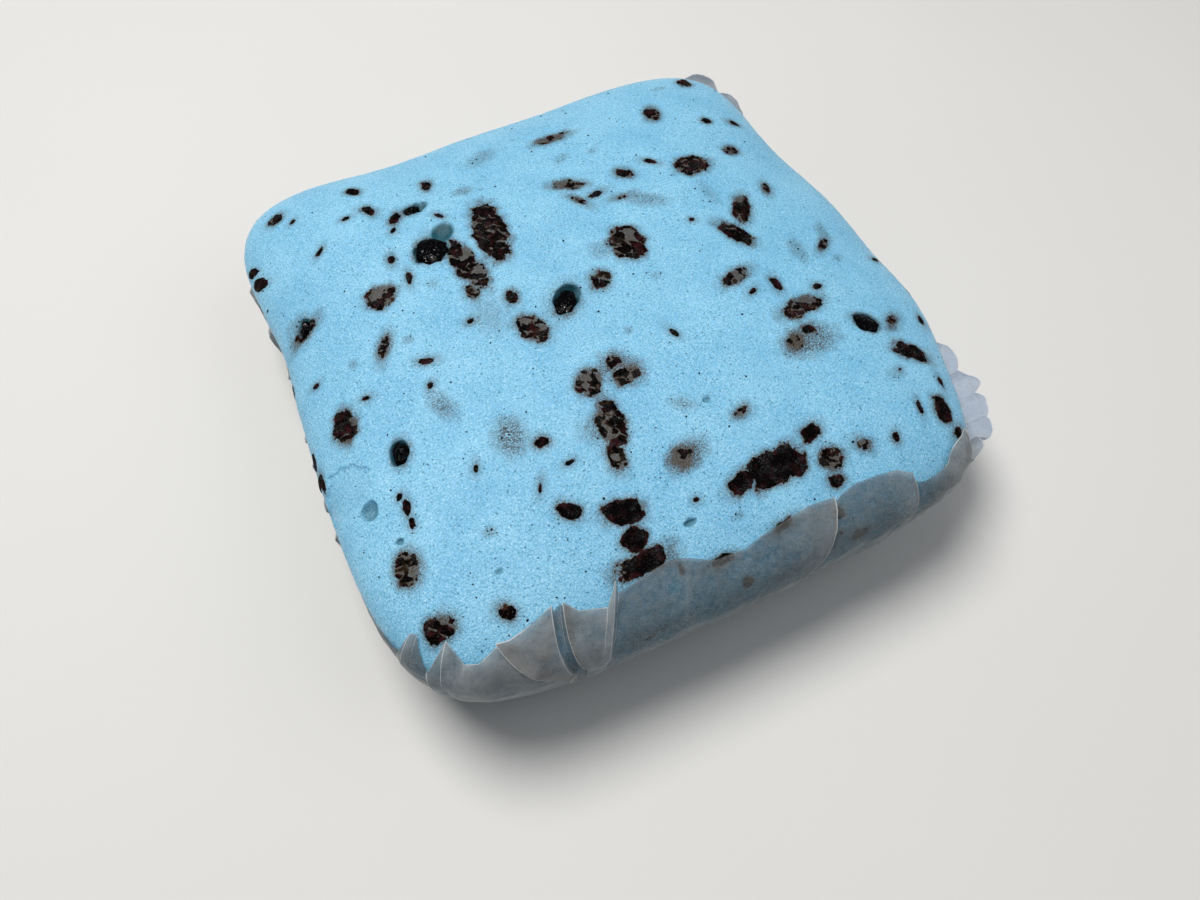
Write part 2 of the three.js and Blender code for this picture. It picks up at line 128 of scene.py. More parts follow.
# Flakes that show through the skin as a grainy shade: (x, y, length, width, turn, strength).
GHOSTS = (
    (29.7, -25.5, 12, 7, 0, 0.75), (-25.3, -22.4, 8.6, 6, 80, 0.7), (-32.8, -11.6, 7.6, 4, -70, 0.55),
    (-0.4, -37, 9, 4.6, 20, 0.7), (18.2, 16.2, 10.5, 4, -35, 0.5), (-4.6, 42.6, 8, 4.6, 25, 0.4),
    (-11.6, 34, 4.4, 3, 0, 0.5), (39.8, -6, 7, 3.6, 80, 0.45), (47.8, -2.4, 5, 3, 75, 0.4),
    (3, -28.3, 5, 3, -35, 0.4), (-3.2, -18, 9, 6.4, -50, 0.75), (9.2, 33.8, 4, 2.4, 40, 0.35),
    (-47.8, -35.2, 7.4, 5, 80, 0.5), (-37, 5.4, 6.4, 3, 60, 0.4), (-50, 19, 5, 5, 0, 0.4),
    (-34.6, -36, 2.6, 2, 0, 0.45), (21.3, -46, 6, 5, 0, 0.4), (15.6, 33, 2.4, 2, 0, 0.3),
    (11.6, -2.4, 2.6, 2, 0, 0.3), (1.4, -11.4, 1.8, 1.6, 0, 0.4), (38.6, 47.4, 4, 1.8, 0, 0.3),
    (-33.4, 4, 2.2, 2.4, 0, 0.4), (-43.5, 4.6, 2, 2.4, 0, 0.35), (-25.2, 13.4, 2.4, 2.4, 0, 0.3),
    (46.4, -10, 3, 2, 0, 0.3), (31, 13, 3, 8, 0, 0.25), (2.4, -48.6, 2.6, 1.4, 0, 0.4),
    (40.5, -37, 4, 3, 0, 0.25), (-19, 2, 7, 10, 0, 0.3), (-12, -27, 7, 6, 0, 0.45),
    (-5.6, -0.8, 10.5, 8, 45, 0.4), (-21.6, 22.6, 10, 8, 40, 0.3), (5.2, 7.4, 5, 5, 0, 0.35),
)
GRAINS_PER_GHOST = 24  # at full strength

SPECKS = 900  # placed by chance, up to SPECK_REACH out along X and Y
SPECK_REACH = 54
SPECK_RINGS = ((1, -0.25), (0.9, 0.12), (0.5, 0.28))  # (width, height), for a speck 1 mm wide

# Flakes in the side: (angle, height, length round the side, length up it).
WALL_FLAKES = (
    (145.2, 26.6, 1.6, 2.8), (147.7, 27.1, 2.2, 3.2), (150.6, 22.8, 3.2, 2.6), (170.5, 24.2, 2.8, 2.2),
    (187, 25, 3.6, 1.8), (192.1, 25.8, 3.8, 1.5), (238.3, 27.1, 1.9, 1.6), (245.7, 21.6, 1.1, 0.9),
    (259.4, 29.9, 1, 0.8), (287.3, 26.8, 0.8, 0.6), (290.2, 25, 2.8, 2.2), (288.7, 28.9, 1.8, 1.3),
    (269.8, 26.3, 2, 1.6), (253, 23, 1.4, 1),
)
MORE_WALL_FLAKES = 34  # on the sides that the photo doesn't show, in these ranges
WALL_FLAKE_RANGES = ((-25, 135), (8, 27), (0.8, 3.6), (0.6, 2.4))

# Pits: (x, y, length, width, turn, depth, steepness, strength of their wet colour and painted shade).
PITS = (
    (-22.8, 20.8, 6.4, 6, 0, 2.6, 0.5, 1), (-19.4, 24.2, 5.6, 4.2, 50, 0.9, 1.2, 0.8),
    (-5.3, -0.5, 7.2, 4.4, 50, 2.2, 0.5, 1), (-42.2, -16.1, 4.8, 3.2, 75, 1.8, 0.5, 1),
    (-48.9, 17.8, 4, 2.4, 70, 1.2, 0.7, 0.8), (42.2, -25.5, 5, 4.2, -40, 1.8, 0.6, 0.9),
    (-21.6, 33.2, 5.4, 2.8, 15, 1.4, 0.6, 0.8), (-49.9, -23, 3.4, 3.1, 90, 1.3, 0.5, 0.45),
    (-52.4, -17.1, 9.6, 8.4, 70, 0.55, 0.18, 0.05), (-5.3, -46.8, 2.4, 1.1, 0, 0.7, 0.5, 0.5),
    (-47.4, -30.5, 1.3, 1.1, 0, 0.6, 0.5, 0.5), (7, -29.2, 1.6, 1.1, 0, 0.5, 0.6, 0.4),
    (-35.6, -42.2, 1.4, 0.9, 0, 0.4, 0.6, 0.4), (-8.2, 33, 1, 0.9, 0, 0.4, 0.6, 0.3),
)

# Melted flakes that lie in pits: (x, y, length, width, turn, height under the skin).
MELTS = (
    (-22.8, 20.8, 6.5, 6, 0, 0.05), (-5.8, -1.3, 6, 3.8, 52, 0.1), (-42.1, -16.3, 4.4, 2.8, 75, 0.1),
    (-48.8, 17.5, 3.4, 2, 70, 0.2), (42.2, -25.6, 4.8, 3.8, -40, 0.1), (-22.6, 33, 3.8, 2.2, 15, 0.25),
)

# ---- the paper case

# Creases of the sheet from the near corner to the right corner: (angle at the waist, angle at
# the rim, height of the rim on the skin, stand-off at the waist, stand-off at the rim).
FRONT_CREASES = (
    (205, 205, 18, 0.3, 0.3), (210, 210.5, 19.5, 0.3, 0.3), (214.6, 215, 22, 0.4, 0.4),
    (217.6, 217.8, 24.4, 0.6, 0.7), (219, 220, 25, 0.8, 0.6), (220.3, 221.4, 28.2, 1.7, 2),
    (222.4, 222.1, 28.3, 1.4, 1), (223.4, 223.8, 26.3, 0.8, 0.7), (224.2, 224.4, 25.4, 1, 0.6),
    (225.4, 224.8, 25.6, 2.2, 2.6), (226.8, 226, 28.9, 1.2, 2.2), (228.2, 227.6, 28.2, 2.8, 1.4),
    (230, 228.8, 27.5, 3, 2), (232, 230.4, 27.6, 3, 2), (236, 232, 28.7, 2.8, 2),
    (242.2, 234.4, 28.8, 2.2, 1.4), (241.2, 231.9, 29, 3.6, 2.6), (241.5, 233.4, 29.1, 3.4, 2.2),
    (241.8, 236, 29.8, 2.8, 1.6), (242.2, 238.4, 30.5, 2.6, 1.8), (242.4, 238.9, 30.2, 1.2, 0.7),
    (242.6, 239.3, 30.3, 0.4, 0.15), (242.9, 239.7, 30.5, 0.7, 0.35), (243.2, 240.1, 30.3, 0.35, 0.15),
    (244, 241.2, 30.2, 0.6, 0.4), (243.8, 240, 30.5, 2, 1.5), (244.6, 242.4, 29.8, 2.5, 1.5),
    (245.4, 246.6, 29.4, 2.5, 1.8), (246.2, 247.8, 30.7, 2.6, 2.5), (246.6, 248.4, 30, 1.3, 0.9),
    (247.6, 250, 30.1, 0.8, 0.5), (251.6, 254.4, 30.5, 1.3, 0.5), (255, 257.6, 30.7, 0.9, 0.3),
    (258, 260.4, 30.5, 1.3, 0.9), (262, 265.6, 29.7, 0.7, 0.3), (268, 271, 29.6, 1.1, 0.6),
    (272, 275, 29.9, 0.7, 0.35), (275.6, 280, 30.1, 1.3, 0.8), (278.4, 284.6, 30.3, 1.8, 1.3),
    (280.2, 289.4, 30.1, 2.3, 1.6), (280.8, 288.2, 29.6, 0.9, 0.7), (283, 290.6, 30, 0.6, 0.35),
    (287, 294, 30.3, 1.1, 0.6), (292, 298, 30.1, 0.9, 0.5), (295.6, 300.4, 29.8, 1.5, 1),
    (297.4, 301.9, 29, 2, 1.5), (298, 301.2, 28.2, 0.8, 0.35), (300, 303, 27.4, 0.8, 0.4),
    (303, 306, 27.3, 1.8, 1.6), (306.4, 309.6, 28.2, 2.8, 2.4), (309.4, 313.4, 27.6, 2.8, 2.4),
    (308.4, 311.6, 26, 0.8, 0.8), (310.2, 312.6, 22.6, 2.6, 3),
)
FRONT_CLING = (0.35, 0.5)  # the share of the table's stand-off over the least, at waist and rim
LEAST_STAND_OFF = 0.3
FOOT_STAND_OFF = 0.25
CLOSEST = 0.12  # no point of the crumpled wall stands off by less
WAIST_HEIGHT = 21  # the sheet rises along the wall to here, and then leans in or flares out

# Round lobes that stand well off the right and the far corner: (angle of one end, angle of the
# other, height of the rim on the skin, stand-off at the rim).
RIGHT_LOBES = (
    (313, 316.8, 22, 3.6), (316.8, 320.2, 21.4, 6.6), (320.2, 324.4, 20.8, 8),
    (324.4, 328, 20.4, 8.1), (329.2, 334.6, 20, 5.6),
)
FAR_LOBES = ((37.8, 42.6, 23, 3.8), (43.2, 47.4, 24, 4.4))
LOBE_SHARES = (0.03, 0.12, 0.3, 0.5, 0.7, 0.88, 0.97)  # creases from end to end
LOBE_ROUNDNESS = 0.45  # 1 would be a half wave, and less is squarer
LOBE_VALLEY = 0.84  # the stand-off between lobes as a share of theirs

# Pleats of the left corner, in the form of FRONT_CREASES.
LEFT_TUCK = (
    (124, 124, 18, 0.4, 0.4), (128, 127, 19, 1.2, 1.4), (130, 130.5, 18.2, 0.6, 0.6),
    (133, 132.4, 19.6, 1.3, 1.6), (135, 135.6, 18.4, 0.6, 0.5), (138, 137.6, 19.4, 1.3, 1.5),
    (140, 141, 18.2, 0.5, 0.5), (144, 143.4, 18.8, 1.1, 1.2), (147, 147, 17.8, 0.4, 0.4),
)
ONE_TURN = (360, 360, 0, 0, 0)  # what once round the case adds to a crease
HIDDEN_SIDES = ((337.6, 395), (415, 481), (509, 563))  # right, back, left: (start, end)
HIDDEN_RIM_HEIGHT = 17.6
HIDDEN_FOLD_PITCH = 8  # about how many degrees lie between their folds
CASE_THICKNESS = 0.1
STATION_SHARES = (0, 0.05, 0.22, 0.4, 0.6, 0.78, 0.95)  # places between one crease and the next

# ---- colours, as linear light

SPONGE_PALE = (0.27, 0.64, 0.9, 1)
SPONGE_DEEP = (0.19, 0.54, 0.82, 1)
# painted shade, in the grain's hollows and on the skin under the paper's rim
SPONGE_SHADE = (0.06, 0.3, 0.42, 1)
# painted glints: pale flecks that stand in for highlights on the sponge
SPONGE_PAINTED_GLINT = (0.62, 0.9, 1, 1)
# painted shade in hollows: the middles of some pores, and with PIT_TEAL the pits, where it also gives
# their wet colour
SPONGE_HOLLOW_SHADE = (0.012, 0.11, 0.15, 1)
STAIN = (0.06, 0.038, 0.019, 1)
GHOST = (0.055, 0.06, 0.065, 1)
CHOCOLATE_DARK = (0.0015, 0.0008, 0.0008, 1)
# the flakes' reddish tone, made lighter as painted light on their lumps
CHOCOLATE_LIT_RED = (0.032, 0.007, 0.009, 1)
CHOCOLATE_MELTED = (0.0015, 0.0015, 0.002, 1)
PIT_TEAL = (0.006, 0.035, 0.042, 1)
PAPER_PALE = (0.72, 0.72, 0.71, 1)
PAPER_GREY = (0.42, 0.43, 0.43, 1)
# painted highlight along sharp folds and a rim that stands off
PAPER_FOLD_HIGHLIGHT = (0.92, 0.92, 0.92, 1)
# painted light: the bluish glow of light through the flare and thrown back from the cake
PAPER_FLARE_PAINTED_LIGHT = (0.7, 0.76, 0.86, 1)
PAPER_TINT = (0.74, 0.76, 0.77, 1)  # of the light that passes straight through
FLOOR_COLOUR = (0.74, 0.73, 0.71, 1)

# How deep in flakes' outlines the skin counts at most, and how deep far from any, in mm.
SLAB_HALO = 1
PATCH_HALO = 0.32
MELT_HALO = -0.1
FAR_FROM_FLAKE = -3.0

# Shades round what lies in the skin: (reach where it ends, how much of it fades).
GHOST_FADE = (1.25, 0.8)
PIT_WET_AND_SHADE_FADE = (1.15, 0.4)
WALL_FLAKE_FADE = (1.7, 0.8)
WALL_FLAKE_SHADE = 0.4
# painted shade on the skin under the paper's rim
PAPER_SHADE_FADE = 0.7  # mm from the paper's rim down to full shade

# ---- mesh steps

TOP_CELLS = 214  # along each side of the square top
TOP_EDGE_SHARE = 0.96  # how far out the square top reaches
# Where the top is meshed twice as finely: (inner reach of a pit, outer reach, least depth).
REFINEMENTS = ((0, 1.3, 0), (0.72, 1.14, 0.5))
SHOULDER_RINGS = 12
UPPER_WALL_RINGS = 10
LOWER_WALL_RINGS = 6
OVERHANG_HEIGHT = 14  # the wall is finely meshed down to here
CASE_LOWER_ROWS = 14  # from the foot to the waist
CASE_UPPER_ROWS = 16  # from the waist to the rim
SHARP_FOLD = 28

BODY = "root"
SEED = 20

# ---- the studio

CAMERA_PLACE = (-47.3, -96.05, 158.7)
CAMERA_TARGET = (-3.5, -11.81, 0)
CAMERA_ROLL = 2.01
CAMERA_LENS = 27.03
SENSOR_WIDTH = 36

# Lamps that face LIT_PLACE, in metres and watts: (name, place, width, power, colour).
LAMPS = (
    ("key", (-0.14, 0.2, 0.74), 0.4, 5.3, (1, 0.99, 0.97)),
    ("fill", (0.45, -0.3, 0.62), 0.6, 0.9, (0.95, 0.97, 1)),
)
LIT_PLACE = (0, 0, 0.02)
SKY_COLOUR = (0.9, 0.94, 1, 1)
SKY_STRENGTH = 0.17
FLOOR_REACH = 1.6
FLOOR_HEIGHT = -0.0001


# ==== the skin

def bumps(angle, rows, spread):
    """The sum of smooth bumps, each (degrees, size), at angles in radians."""
    total = np.zeros_like(angle)
    for centre, size in rows:
        apart = (angle - math.radians(centre) + math.pi) % (2 * math.pi) - math.pi
        total = total + size * np.exp(-((apart / math.radians(spread)) ** 2))
    return total


def bulge_radius(angle):
    """The bulge's distance from the axis."""
    across = np.abs(np.cos(angle) / HALF_WIDTH) ** PLAN_POWER
    deep = np.abs(np.sin(angle) / HALF_DEPTH) ** PLAN_POWER
    return (across + deep) ** (-1 / PLAN_POWER) + bumps(angle, SIDE_SWELLS, SWELL_SPREAD)


def profile(place):
    """Share of the bulge's radius, and height, at places from 0 (middle of the top) over 1 (the
    bulge) to 2 (the foot)."""
    turn = np.clip(place, 0, 1) * math.pi / 2
    up = np.clip(2 - place, 0, 1)
    top_share = np.sin(turn) ** (2 / SHOULDER_POWER)
    wall_share = FOOT_SHARE + (1 - FOOT_SHARE) * np.sin(up * math.pi / 2) ** SIDE_POWER
    rise = (CAKE_HEIGHT - BULGE_HEIGHT) * np.clip(np.cos(turn), 0, 1) ** (2 / SHOULDER_POWER)
    share = np.where(place <= 1, top_share, wall_share)
    height = np.where(place <= 1, BULGE_HEIGHT + rise, BULGE_HEIGHT * up)
    return share, height


def skin(angle, place):
    """Points of the even skin, in mm."""
    angle, place = np.broadcast_arrays(np.asarray(angle, float), np.asarray(place, float))
    share, height = profile(place)
    radius = share * bulge_radius(angle)
    lift = bumps(angle, CORNER_LIFTS, LIFT_SPREAD) * share**2 * np.minimum(height / BULGE_HEIGHT, 1)
    return np.stack((radius * np.cos(angle), radius * np.sin(angle), height + lift), -1)


def skin_normal(angle, place):
    """Outward normals of the even skin, of length 1."""
    step = 1e-3
    down = skin(angle, place + step) - skin(angle, place - step)
    round_it = skin(angle + step, place) - skin(angle - step, place)
    normal = np.cross(down, round_it)
    return normal / np.maximum(np.linalg.norm(normal, axis=-1, keepdims=True), 1e-12)


def place_of_share(share):
    """The place from 0 to 1 where the profile has a share of the bulge's radius."""
    return np.arcsin(np.clip(share, 0, 1) ** (SHOULDER_POWER / 2)) * 2 / math.pi


def place_of_height(height):
    rise = np.clip((height - BULGE_HEIGHT) / (CAKE_HEIGHT - BULGE_HEIGHT), 0, 1)
    above = np.arccos(rise ** (SHOULDER_POWER / 2)) * 2 / math.pi
    return np.where(height <= BULGE_HEIGHT, 2 - height / BULGE_HEIGHT, above)


def above_plan(x, y):
    """The angle and profile place of the skin over points of the plan."""
    angle = np.arctan2(y, x)
    return angle, place_of_share(np.hypot(x, y) / bulge_radius(angle))


def reach(x, y, middle_x, middle_y, length, width, turn, power=2):
    """How far out in a turned, squared ellipse a place lies, where its rim is 1."""
    along, across = turned(0, 0, x - middle_x, y - middle_y, -math.radians(turn))
    along, across = np.abs(along) / (length / 2), np.abs(across) / (width / 2)
    return (along**power + across**power) ** (1 / power)


def turned(x, y, along, across, turn):
    """The place so far along and across from a middle, on axes turned by an angle in radians."""
    cosine, sine = math.cos(turn), math.sin(turn)
    return x + along * cosine - across * sine, y + along * sine + across * cosine


def wobble(x, y):
    """An even wave over the plan, from -1 to 1, that keeps round shapes from being too round."""
    return np.sin(1.9 * x + 0.7 * y) * np.cos(1.3 * y - 0.8 * x + 1)


def dents(x, y):
    """How deep the pits sink the skin over places of the plan, in mm."""
    depth = np.zeros_like(x)
    for *oval, deep, steepness, _ in PITS:
        out = reach(x, y, *oval) * (1 + 0.13 * wobble(x, y))
        bowl = deep * np.clip(1 - out**2, 0, 1) ** steepness
        lip = 0.05 * deep * np.exp(-(((out - 1.1) / 0.12) ** 2))
        depth = np.maximum(depth, bowl) - lip
    return depth


def relief(points):
    """The sponge's soft swells and crumb, in mm, at points in mm."""
    return sum(
        height * np.array([noise.noise(Vector(point) / width) for point in points])
        for height, width in SKIN_RELIEF
    )


def on_top(x, y, height):
    """Points at a height over the dented, uneven top, for places of the plan."""
    angle, place = above_plan(x, y)
    bare = skin(angle, place)
    rise = height - dents(x, y) + relief(bare)
    return bare + skin_normal(angle, place) * rise[..., None]


# ==== nodes of materials

def feed(tree, node, inputs):
    """Gives each input of a node its value, or links it to another node's output."""
    for name, value in inputs.items():
        if isinstance(value, bpy.types.NodeSocket):
            tree.links.new(value, node.inputs[name])
        else:
            node.inputs[name].default_value = value


def add_node(tree, kind, inputs=None, **settings):
    made = tree.nodes.new(kind)
    for name, value in settings.items():
        setattr(made, name, value)
    feed(tree, made, inputs or {})
    return made


def new_material(name):
    """A material with a bare Principled shader, its tree and object coordinates."""
    material = bpy.data.materials.new(name)
    material.use_nodes = True
    tree = material.node_tree
    shader = next(each for each in tree.nodes if each.type == "BSDF_PRINCIPLED")
    place = add_node(tree, "ShaderNodeTexCoord").outputs["Object"]
    return material, tree, shader, place


def noise_of(tree, place, scale, detail, roughness=0.5):
    inputs = {"Vector": place, "Scale": scale, "Detail": detail, "Roughness": roughness}
    return add_node(tree, "ShaderNodeTexNoise", inputs).outputs["Fac"]


def ramp(tree, value, low, high, to_low=0.0, to_high=1.0):
    """Maps a value from one range to another, cut off at both ends."""
    inputs = {"Value": value, "From Min": low, "From Max": high, "To Min": to_low, "To Max": to_high}
    return add_node(tree, "ShaderNodeMapRange", inputs).outputs["Result"]


def maths(tree, operation, first, second):
    return add_node(tree, "ShaderNodeMath", {0: first, 1: second}, operation=operation).outputs[0]


def blend_colour(tree, share, first, second):
    """The colour share of the way from first to second."""
    inputs = {0: share, 6: first, 7: second}
    return add_node(tree, "ShaderNodeMix", inputs, data_type="RGBA").outputs[2]


def layered(tree, colour, layers):
    """A colour with others laid over it in turn, each by its own share."""
    for share, upper in layers:
        colour = blend_colour(tree, share, colour, upper)
    return colour


def bump(tree, height, distance, strength, normal=None):
    inputs = {"Height": height, "Distance": distance, "Strength": strength}
    if normal is not None:
        inputs["Normal"] = normal
    return add_node(tree, "ShaderNodeBump", inputs).outputs["Normal"]


def attribute(tree, name):
    return add_node(tree, "ShaderNodeAttribute", attribute_name=name).outputs["Fac"]


# ==== materials: noises have so many cells a metre, and bumps are in metres

def sponge_pores(tree, place):
    """From 0 to 1, the middles of some of the sponge's pores."""
    pores = add_node(tree, "ShaderNodeTexVoronoi", {"Vector": place, "Scale": 1700}).outputs
    pick = add_node(tree, "ShaderNodeSeparateColor", {"Color": pores["Color"]}).outputs["Red"]
    middle = ramp(tree, pores["Distance"], 0.1, 0.3, 1, 0)
    return maths(tree, "MULTIPLY", middle, ramp(tree, pick, 0.72, 1))


def sponge_material():
    """Moist, fine-pored sponge, with stains round the flakes and grainy shade over sunk ones, painted
    glints on its grain, and painted shade in its grain's hollows, its pores and pits and under the
    paper's rim.
    """
    material, tree, shader, place = new_material("sponge")
    mottle = noise_of(tree, place, 110, 4)
    grain = noise_of(tree, place, 3000, 2, 0.8)
    sparkle = noise_of(tree, place, 5600, 1)
    clots = noise_of(tree, place, 900, 4, 0.8)
    ghost_grain = noise_of(tree, place, 4200, 2, 0.7)
    pore = sponge_pores(tree, place)
    patchy_paper_shade = ramp(tree, clots, 0.38, 0.64, 0.9, 0.1)
    speckled = ramp(tree, ghost_grain, 0.4, 0.58, 0.15, 1.6)
    ghost = maths(tree, "MULTIPLY", attribute(tree, "ghost"), speckled)
    jitter = ramp(tree, ghost_grain, 0.3, 0.7, -0.45, 0.45)
    near = maths(tree, "ADD", attribute(tree, "near_flake"), jitter)
    wet = attribute(tree, "wet")
    colour = layered(tree, SPONGE_PALE, (
        (ramp(tree, mottle, 0.35, 0.7), SPONGE_DEEP),
        # painted shade under the paper's rim, in patches
        (maths(tree, "MULTIPLY", attribute(tree, "paper_shade"), patchy_paper_shade), SPONGE_SHADE),
        # painted shade in the grain's hollows
        (ramp(tree, grain, 0.5, 0.3, 0, 0.8), SPONGE_SHADE),
        # painted glints on the grain's ridges and in a fine sparkle
        (ramp(tree, grain, 0.55, 0.7, 0, 0.6), SPONGE_PAINTED_GLINT),
        (ramp(tree, sparkle, 0.64, 0.7, 0, 0.8), SPONGE_PAINTED_GLINT),
        # painted shade in the middles of some pores
        (maths(tree, "MULTIPLY", pore, 0.6), SPONGE_HOLLOW_SHADE),
        (maths(tree, "MINIMUM", ghost, 1), GHOST),
        (ramp(tree, near, -1.4, 0, 0, 0.5), GHOST),
        (ramp(tree, near, -0.5, 0.25, 0, 0.95), STAIN),
        # wet colour and painted shade in and round the pits, turning teal where strongest
        (ramp(tree, wet, 0, 0.7), SPONGE_HOLLOW_SHADE),
        (ramp(tree, wet, 0.75, 1), PIT_TEAL),
    ))
    fine = bump(tree, grain, 0.00022, 0.9)
    feed(tree, shader, {
        "Base Color": colour,
        "Roughness": ramp(tree, grain, 0.3, 0.7, 0.55, 0.28),
        "Normal": bump(tree, maths(tree, "SUBTRACT", 1, pore), 0.0003, 0.8, fine),
        "Subsurface Weight": 0.3,
        "Subsurface Radius": (0.6, 1.0, 1.3),
        "Subsurface Scale": 0.0015,
        "Specular IOR Level": 0.5,
    })
    return material


def chocolate_material():
    """Dark, dry flakes with a reddish cast, painted lighter on their lumps as if lit, and a fine
    glittering grain.
    """
    material, tree, shader, place = new_material("chocolate")
    patchy = noise_of(tree, place, 700, 3)
    thin = noise_of(tree, place, 420, 2)
    grain = noise_of(tree, place, 4200, 2, 0.8)
    depth = attribute(tree, "depth")
    # a reddish tone with painted light, laid on the lumps that the same noise bumps up
    reddish = maths(tree, "MULTIPLY", ramp(tree, patchy, 0.5, 0.66), ramp(tree, depth, 0.3, 1, 1, 0.3))
    skinned = maths(tree, "MULTIPLY", ramp(tree, thin, 0.5, 0.62), ramp(tree, grain, 0.48, 0.6))
    colour = layered(tree, CHOCOLATE_DARK, (
        (reddish, CHOCOLATE_LIT_RED),
        (maths(tree, "MULTIPLY", skinned, 0.5), GHOST),
        (ramp(tree, depth, -0.03, 0.12, 0.8, 0), STAIN),
    ))
    lumps = bump(tree, patchy, 0.0004, 0.8)
    feed(tree, shader, {
        "Base Color": colour,
        "Roughness": ramp(tree, grain, 0.5, 0.7, 0.8, 0.2),
        "Specular IOR Level": ramp(tree, grain, 0.6, 0.74, 0.03, 0.9),
        "Normal": bump(tree, grain, 0.00025, 0.9, lumps),
    })
    return material


def melted_material():
    """Chocolate that has melted to a smooth, wet film in its pit."""
    material, tree, shader, place = new_material("melted_chocolate")
    waves = noise_of(tree, place, 900, 3, 0.6)
    glint = noise_of(tree, place, 2400, 2, 0.6)
    teal = ramp(tree, waves, 0.62, 0.8, 0, 0.6)
    feed(tree, shader, {
        "Base Color": blend_colour(tree, teal, CHOCOLATE_MELTED, PIT_TEAL),
        "Normal": bump(tree, waves, 0.0002, 0.6),
        "Specular IOR Level": ramp(tree, glint, 0.6, 0.68, 0.03, 0.7),
        "Roughness": 0.12,
    })
    return material


def paper_material():
    """Thin glassine: cloudy where it stands off the cake, nearly clear where it clings."""
    material, tree, shader, place = new_material("glassine")
    cloud = noise_of(tree, place, 160, 5, 0.6)
    fibre = noise_of(tree, place, 2600, 3, 0.7)
    crinkle = noise_of(tree, place, 850, 4, 0.75)
    stand_off = attribute(tree, "stand_off")
    fold = attribute(tree, "fold")
    colour = layered(tree, PAPER_PALE, (
        (ramp(tree, cloud, 0.35, 0.65), PAPER_GREY),
        # painted light on paper that stands well off: a bluish glow of light through it and back from
        # the cake
        (ramp(tree, stand_off, 2.2, 4.6), PAPER_FLARE_PAINTED_LIGHT),
        # painted highlight along sharp folds and the standing rim
        (fold, PAPER_FOLD_HIGHLIGHT),
    ))
    crumpled = bump(tree, crinkle, 0.0003, 0.7)
    feed(tree, shader, {
        "Base Color": colour,
        "Roughness": ramp(tree, cloud, 0.3, 0.7, 0.25, 0.45),
        "Normal": bump(tree, fibre, 0.00008, 0.8, crumpled),
        "Sheen Weight": 0.5,
        "Sheen Roughness": 0.35,
    })

    facing = add_node(tree, "ShaderNodeLayerWeight", {"Blend": 0.5}).outputs["Facing"]
    opacity = ramp(tree, cloud, 0.35, 0.7, 0, 0.18)
    for part in (
        ramp(tree, crinkle, 0.36, 0.62, 0.02, 0.16),
        ramp(tree, stand_off, 0.5, 1.3, 0, 0.31),
        ramp(tree, stand_off, 2.6, 4.8, 0, 0.2),
        ramp(tree, facing, 0.72, 1, 0, 0.5),
        ramp(tree, fold, 0, 1, 0, 0.55),
    ):
        opacity = maths(tree, "ADD", opacity, part)
    through = add_node(tree, "ShaderNodeBsdfTranslucent", {"Color": colour}).outputs[0]
    body = add_node(tree, "ShaderNodeMixShader", {0: 0.35, 1: shader.outputs[0], 2: through})
    clear = add_node(tree, "ShaderNodeBsdfTransparent", {"Color": PAPER_TINT}).outputs[0]
    film = add_node(tree, "ShaderNodeMixShader", {0: opacity, 1: clear, 2: body.outputs[0]})
    surface = next(each for each in tree.nodes if each.type == "OUTPUT_MATERIAL")
    feed(tree, surface, {"Surface": film.outputs[0]})
    return material


def floor_material():
    material, tree, shader, place = new_material("studio_floor")
    cloud = noise_of(tree, place, 9, 3)
    paler = [min(1, 1.05 * part) for part in FLOOR_COLOUR]
    feed(tree, shader, {"Base Color": blend_colour(tree, cloud, FLOOR_COLOUR, paler), "Roughness": 0.8})
    return material


# ==== pieces

def add_object(name, data):
    made = bpy.data.objects.new(name, data)
    bpy.context.scene.collection.objects.link(made)
    return made


def new_piece(name, points, faces, material):
    """A mesh piece from points in mm, riding on the one body."""
    mesh = bpy.data.meshes.new(name)
    mesh.from_pydata((np.asarray(points, float) * MM).tolist(), [], faces)
    mesh.materials.append(material)
    mesh.polygons.foreach_set("use_smooth", [True] * len(mesh.polygons))
    piece = add_object(name, mesh)
    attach(piece, BODY)
    return piece


def set_attribute(piece, name, values):
    layer = piece.data.attributes.new(name, "FLOAT", "POINT")
    layer.data.foreach_set("value", np.asarray(values, np.float32))


def thicken(piece, thickness, offset):
    """Makes a sheet thick: inwards where the offset is -1, both ways where it is 0."""
    solidify = piece.modifiers.new("thickness", "SOLIDIFY")
    solidify.thickness = thickness * MM
    solidify.offset = offset


def band(low, around):
    """Faces between a ring of points, numbered from low on, and the ring that follows it."""
    high = low + around
    after = [*range(1, around), 0]
    return [(low + step, low + after[step], high + after[step], high + step) for step in range(around)]


def dome_faces(start, rings, around):
    """Faces of a low dome, from the ring at its foot up, closed above and below."""
    end = start + rings * around
    faces = [face for low in range(start, end - around, around) for face in band(low, around)]
    return [*faces, tuple(range(end - around, end)), tuple(range(start + around - 1, start - 1, -1))]


def plan_of_grid(u, v):
    """Where points of the flat square top lie in the plan, in mm."""
    angle = np.arctan2(v, u)
    radius = TOP_EDGE_SHARE * np.maximum(np.abs(u), np.abs(v)) * bulge_radius(angle)
    return radius * np.cos(angle), radius * np.sin(angle)


